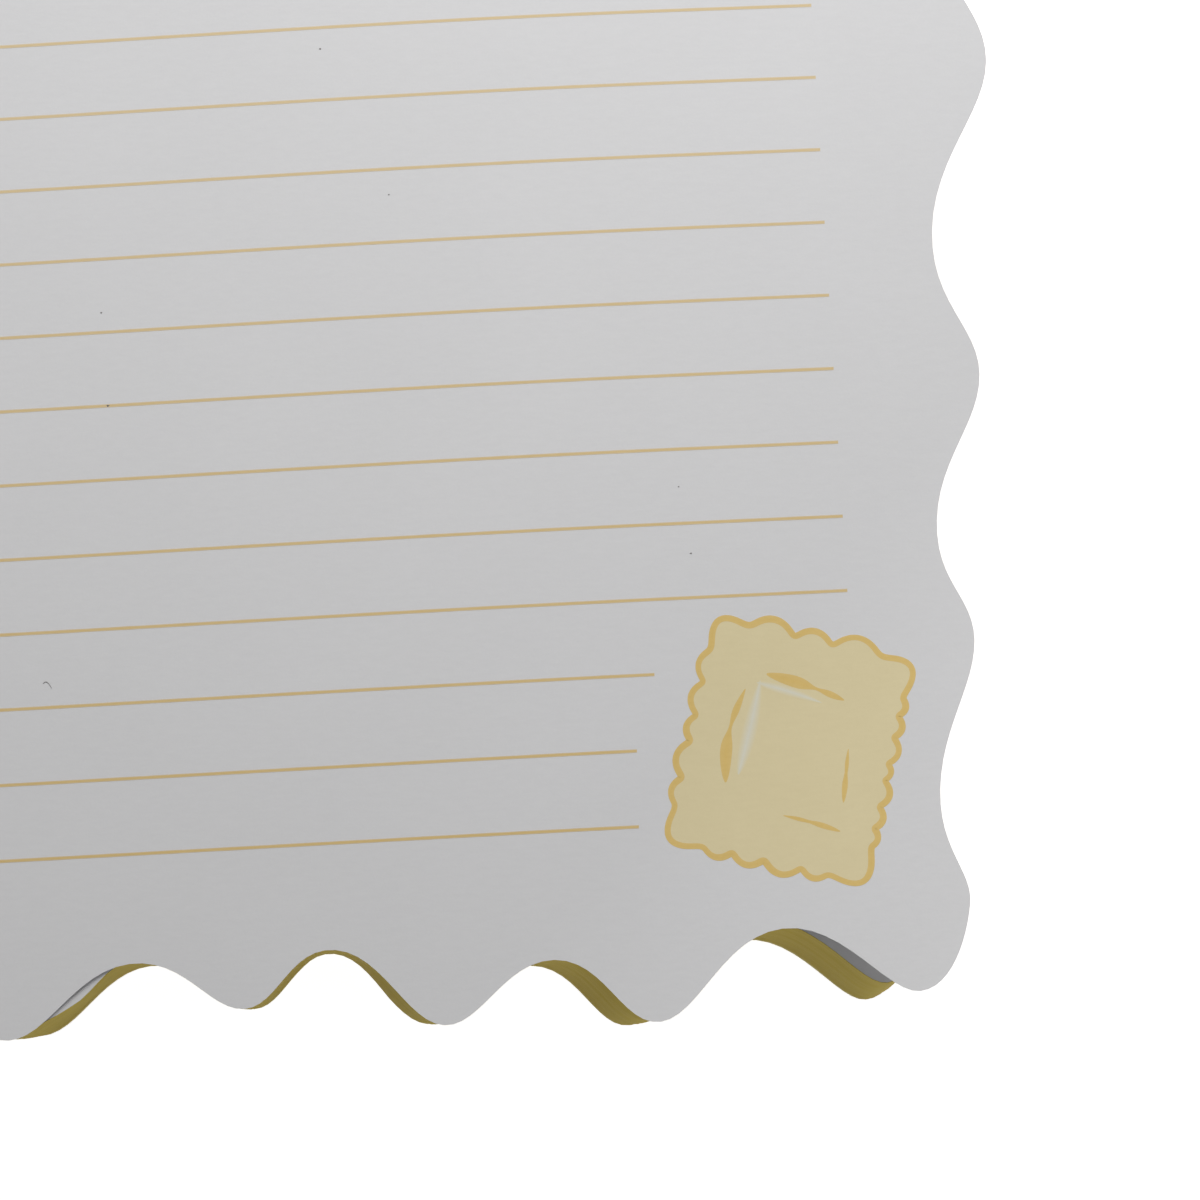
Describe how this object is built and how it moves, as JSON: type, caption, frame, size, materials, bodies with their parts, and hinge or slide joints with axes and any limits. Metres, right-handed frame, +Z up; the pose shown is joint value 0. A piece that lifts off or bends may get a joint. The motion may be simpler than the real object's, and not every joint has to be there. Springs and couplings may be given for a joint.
{
  "type": "wavy-edged notebook",
  "caption": "Thick pocket notebook with wavy die-cut edges, lying open at a ruled first page; the front cover swings over on its spine crease.",
  "frame": {"origin": "middle of the page outline on the underside of the back cover, which lies on the table", "axes": "+X from the spine to the fore edge, +Y from the foot of the page to its head, +Z up from the table"},
  "size_m": [0.299, 0.178, 0.0346],
  "materials": {
    "cover_card": "smooth matt card in pale golden yellow",
    "binding_glue": "dull milky glue",
    "page_paper": "uncoated white writing paper",
    "edge_colour": "matt golden colour on cut page edges",
    "ochre_ink": "matt printed ink",
    "yellow_ink": "matt printed ink",
    "cream_ink": "matt printed ink"
  },
  "bodies": {
    "book": {"back_cover": "cover_card", "spine_cover": "cover_card", "binding_glue": "binding_glue", "page_block": "page_paper", "painted_edge": "edge_colour", "ruled_lines": "ochre_ink", "print_ground": "yellow_ink", "print_outline": "ochre_ink", "print_creases": "ochre_ink", "print_highlight": "cream_ink"},
    "cover": {"front_cover": "cover_card"}
  },
  "joints": [
    {"name": "cover_crease", "type": "hinge", "parent": "book", "child": "cover", "pos_m": [-0.0763, 0, 0.0232], "axis": [0, 1, 0], "range_deg": [0, 183.4]}
  ]
}
